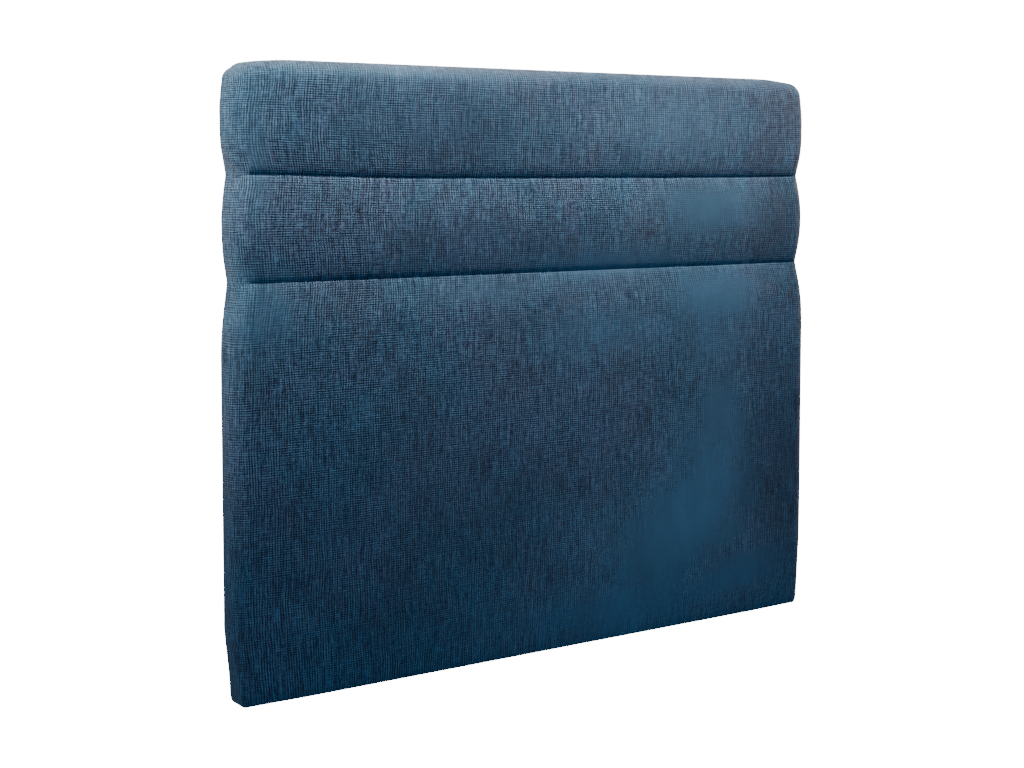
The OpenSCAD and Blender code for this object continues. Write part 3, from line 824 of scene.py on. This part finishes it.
def hardboard():
    """Pressed brown fibre with flecks."""
    n = Nodes("hardboard")
    place = n.place()
    fleck = n.noise(place, scale=900.0, detail=3.0, roughness=0.7)
    cloud = n.noise(place, scale=9.0, detail=4.0)
    n.set(
        Base_Color=n.scale_colour(
            n.mix(n.remap(fleck, 0.35, 0.68), (0.20, 0.115, 0.055, 1.0), (0.36, 0.23, 0.13, 1.0)),
            n.remap(cloud, 0.25, 0.75, 0.88, 1.12),
        ),
        Roughness=n.remap(cloud, 0.2, 0.8, 0.42, 0.62, soft=False),
        Normal=n.bump(fleck, 0.0001, 0.5),
    )
    return n.material


def plated(name, colour, tarnish, rough):
    """Zinc-plated steel: uneven crystals, dull handling marks and fine scratches."""
    n = Nodes(name)
    place = n.place()
    crystal = n.noise(place, scale=420.0, detail=2.0)
    marks = n.noise(place, scale=60.0, detail=5.0, roughness=0.65)
    worn = n.mix(n.remap(marks, 0.42, 0.70), colour, tarnish)
    n.set(
        Base_Color=n.scale_colour(worn, n.remap(crystal, 0.3, 0.7, 0.86, 1.08)),
        Metallic=1.0,
        Roughness=n.remap(marks, 0.25, 0.75, rough - 0.08, rough + 0.14, soft=False),
        Normal=n.bump(crystal, 0.00005, 0.4),
    )
    return n.material


def cotton_tape():
    """Herringbone cotton tape."""
    n = Nodes("cotton_tape")
    x, y, z = n.split(n.place())
    row = n.math("FRACT", n.math("MULTIPLY", n.math("SUBTRACT", z, y), 160.0))
    slope = n.math("ABSOLUTE", n.math("SUBTRACT", row, 0.5))
    twill = n.math("SINE", n.math("MULTIPLY", n.math("MULTIPLY_ADD", slope, 0.006, x), 2 * math.pi / 0.0011))
    fuzz = n.noise(n.combine(x, y, z), scale=900.0, detail=3.0)
    relief = n.math("MULTIPLY_ADD", fuzz, 1.2, twill)
    n.set(
        Base_Color=n.mix(n.remap(relief, -0.4, 1.6), (0.52, 0.48, 0.38, 1.0), (0.76, 0.72, 0.62, 1.0)),
        Roughness=n.remap(fuzz, 0.2, 0.8, 0.82, 0.95, soft=False),
        Sheen_Weight=0.2,
        Normal=n.bump(relief, 0.0002, 0.7),
    )
    return n.material


def spunbond():
    """Thin black non-woven cloth with a grid of small heat-bonded points."""
    n = Nodes("spunbond")
    x, y, z = n.split(n.place())
    pitch = 2 * math.pi / 0.0026
    column, row = (n.math("SINE", n.math("MULTIPLY", axis, pitch)) for axis in (x, z))
    point = n.math("MULTIPLY", column, row)
    strands = n.combine(x, y, n.math("MULTIPLY", z, 2.2))
    fibres = n.noise(strands, scale=420.0, detail=4.0, roughness=0.7)
    cloud = n.noise(n.combine(x, y, z), scale=14.0, detail=5.0, roughness=0.6)
    relief = n.math("MULTIPLY_ADD", fibres, 1.3, n.math("MULTIPLY", n.remap(point, 0.35, 0.75), -0.9))
    n.set(
        Base_Color=n.scale_colour(
            n.mix(n.remap(relief, -0.3, 1.1), (0.010, 0.010, 0.012, 1.0), (0.040, 0.040, 0.044, 1.0)),
            n.remap(cloud, 0.25, 0.75, 0.75, 1.3),
        ),
        Roughness=n.remap(fibres, 0.2, 0.8, 0.68, 0.86, soft=False),
        Sheen_Weight=0.25,
        Normal=n.bump(relief, 0.00025, 0.7),
    )
    return n.material


# ---------------------------------------------------------------- build
def dress(piece, material, node):
    """Gives a piece its material, and lets it stand for a CAD node."""
    piece.data.materials.clear()
    piece.data.materials.append(material)
    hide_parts(node)
    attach(piece, "root")


def build_cover(section, low, high, material):
    cover = skin_section(f"cover_{section}_fabric", low, high)
    dress(cover, material, f"cover_{section}")
    stretch_over(cover, low, high)
    thicken(cover, FABRIC)


def build_wadding(section, low, high, material):
    layer = skin_section(f"wadding_{section}_layer", low, high, WADDING_OUT, 0.4, FOAM_BACK)
    dress(layer, material, f"wadding_{section}")
    thicken(layer, WADDING)


def build_foam(name, node, x_ends, depth_ends, z_ends, cells, material):
    pad = soft_block(name, FOAM_OUT, x_ends, depth_ends, z_ends, cells)
    dress(pad, material, node)


def build_padding():
    """The covers, and the wadding and foam under them."""
    fabric = chenille()
    wadding = plain_cloth("polyester_wadding", (0.80, 0.80, 0.78, 1), (0.66, 0.66, 0.64, 1), 0.002, 0.9, 0.4)
    foam = plain_cloth("foam", (0.78, 0.68, 0.42, 1), (0.62, 0.52, 0.30, 1), 0.0015, 0.9, 0.1)
    for section, low, high in SECTIONS:
        build_cover(section, low, high, fabric)
        build_wadding(section, low, high, wadding)
        build_foam(
            f"foam_{section}_pad", f"foam_{section}", (None, None), (BOARD_DEPTH + GAP, None),
            (low + SEAM_CLEAR, high - SEAM_CLEAR), (120, 6, max(20, int((high - low) / 0.012))), foam,
        )
    edge_depths = (FOAM_BACK, BOARD_DEPTH - GAP)
    for side, x_ends in (("left", (None, -TIMBER_X - GAP)), ("right", (TIMBER_X + GAP, None))):
        node = f"foam_edge_{side}"
        build_foam(node + "_pad", node, x_ends, edge_depths, (0.0015, TOP_Z), (4, 8, 160), foam)
    build_foam(
        "foam_edge_top_pad", "foam_edge_top", (-TIMBER_X, TIMBER_X), edge_depths,
        (TIMBER_TOP + GAP, TOP_Z), (120, 8, 4), foam,
    )


def build_back():
    """The dust cover, the pull strips behind the seams and the felt discs."""
    back_cloth = softened("dust_cover", "dust_cover_cloth", 0.032, 0.030, dust_cover_shift)
    dress(back_cloth, spunbond(), "dust_cover")

    tape_material = cotton_tape()
    for node in ("pull_strip_upper", "pull_strip_lower"):
        tape = softened(node, node + "_tape", 0.012, 0.0, strip_shift)
        dress(tape, tape_material, node)

    felt = plain_cloth("felt", (0.27, 0.27, 0.28, 1), (0.15, 0.15, 0.16, 1), 0.0008, 0.93, 0.3)
    for corner in ("top_left", "top_right", "bottom_left", "bottom_right"):
        disc = felt_disc(f"wall_bumper_{corner}_felt", f"wall_bumper_{corner}")
        dress(disc, felt, f"wall_bumper_{corner}")


def finish_cad_nodes():
    """Materials for the wood and metal nodes that CAD's own shapes are kept for."""
    finishes = {
        "pine": timber("pine_upright", along_x=False),
        "plywood": plywood(),
        "hardboard": hardboard(),
        "screw_steel": plated("yellow_zinc", (0.72, 0.56, 0.26, 1.0), (0.48, 0.38, 0.24, 1.0), 0.34),
        "zinc_steel": plated("bright_zinc", (0.62, 0.64, 0.66, 1.0), (0.44, 0.45, 0.46, 1.0), 0.34),
        "staple_steel": plated("galvanised_wire", (0.58, 0.58, 0.58, 1.0), (0.40, 0.40, 0.40, 1.0), 0.40),
    }
    pine_level = timber("pine_level", along_x=True)
    for part in frame["record"]["subparts"]:
        name, slot = part["node"], part["material_slot"]
        if slot in finishes:
            finish = pine_level if name.startswith("frame_rail") else finishes[slot]
            frame["nodes"][name].data.materials[0] = finish


build_padding()
build_back()
finish_cad_nodes()

# ---------------------------------------------------------------- stage, light and camera
FLOOR_SIZE = 40.0
WHITE = 18.0
AMBIENT = 0.275
AMBIENT_COLOUR = (0.26, 0.70, 1.0, 1.0)
WARM = (1.0, 0.76, 0.60)
# Camera fitted to the panel's outline in the photograph: metres, degrees and millimetres
CAMERA_PLACE = (-2.1001, -2.9014, 0.9938)
CAMERA_DOWN, CAMERA_RIGHT = 4.289, 34.869
CAMERA_SENSOR, CAMERA_LENS, CAMERA_SHIFT_Y = 36.0, 61.18, -0.08


def make_floor():
    """White floor that the camera sees and that sends no light back onto the panel."""
    r = FLOOR_SIZE
    floor = new_piece("floor", [(-r, -r, 0), (r, -r, 0), (r, r, 0), (-r, r, 0)], [(0, 1, 2, 3)])
    n = Nodes("white_floor")
    n.set(Base_Color=(0.85, 0.85, 0.85, 1.0), Roughness=0.9, Emission_Strength=WHITE)
    n.shader.inputs["Emission Color"].default_value = (1.0, 1.0, 1.0, 1.0)
    floor.data.materials.append(n.material)
    floor.location.z = -0.0006
    floor.visible_diffuse = False
    floor.visible_glossy = False
    floor.visible_shadow = False


def make_world():
    """White behind the panel for the camera, and a weak, even, cool light on the panel."""
    world = bpy.data.worlds.new("studio")
    world.use_nodes = True
    tree = world.node_tree
    path = tree.nodes.new("ShaderNodeLightPath")
    seen = tree.nodes.new("ShaderNodeBackground")
    seen.inputs["Strength"].default_value = WHITE
    seen.inputs["Color"].default_value = (1.0, 1.0, 1.0, 1.0)
    lighting = tree.nodes["Background"]
    lighting.inputs["Color"].default_value = AMBIENT_COLOUR
    lighting.inputs["Strength"].default_value = AMBIENT
    either = tree.nodes.new("ShaderNodeMixShader")
    tree.links.new(path.outputs["Is Camera Ray"], either.inputs[0])
    tree.links.new(lighting.outputs[0], either.inputs[1])
    tree.links.new(seen.outputs[0], either.inputs[2])
    tree.links.new(either.outputs[0], tree.nodes["World Output"].inputs["Surface"])
    bpy.context.scene.world = world


def area_light(name, place, target, width, height, power, spread=180.0):
    data = bpy.data.lights.new(name, "AREA")
    data.shape = "RECTANGLE"
    data.size, data.size_y, data.energy, data.spread = width, height, power, math.radians(spread)
    data.color = WARM
    lamp = bpy.data.objects.new(name, data)
    lamp.location = place
    lamp.rotation_euler = (Vector(target) - Vector(place)).to_track_quat("-Z", "Y").to_euler()
    bpy.context.scene.collection.objects.link(lamp)


def make_camera():
    data = bpy.data.cameras.new("camera")
    data.sensor_width = CAMERA_SENSOR
    data.lens = CAMERA_LENS
    data.shift_y = CAMERA_SHIFT_Y
    camera = bpy.data.objects.new("camera", data)
    camera.location = CAMERA_PLACE
    camera.rotation_euler = (math.radians(90 - CAMERA_DOWN), 0.0, math.radians(-CAMERA_RIGHT))
    bpy.context.scene.collection.objects.link(camera)
    bpy.context.scene.camera = camera


make_floor()
make_world()
area_light("overhead", (0.12, -0.50, 2.20), (0.12, 0.30, 1.10), 1.9, 0.25, 20.0, spread=66.0)
area_light("left", (-2.2, -0.15, 1.9), (-0.75, 0.0, 1.15), 0.4, 0.8, 6.2, spread=46.0)
area_light("behind", (0.8, 3.0, 2.0), (0.0, 0.0, 0.6), 2.0, 1.0, 60.0)
area_light("right", (3.0, 0.6, 1.6), (0.7, 0.0, 0.7), 1.0, 1.0, 25.0)
make_camera()
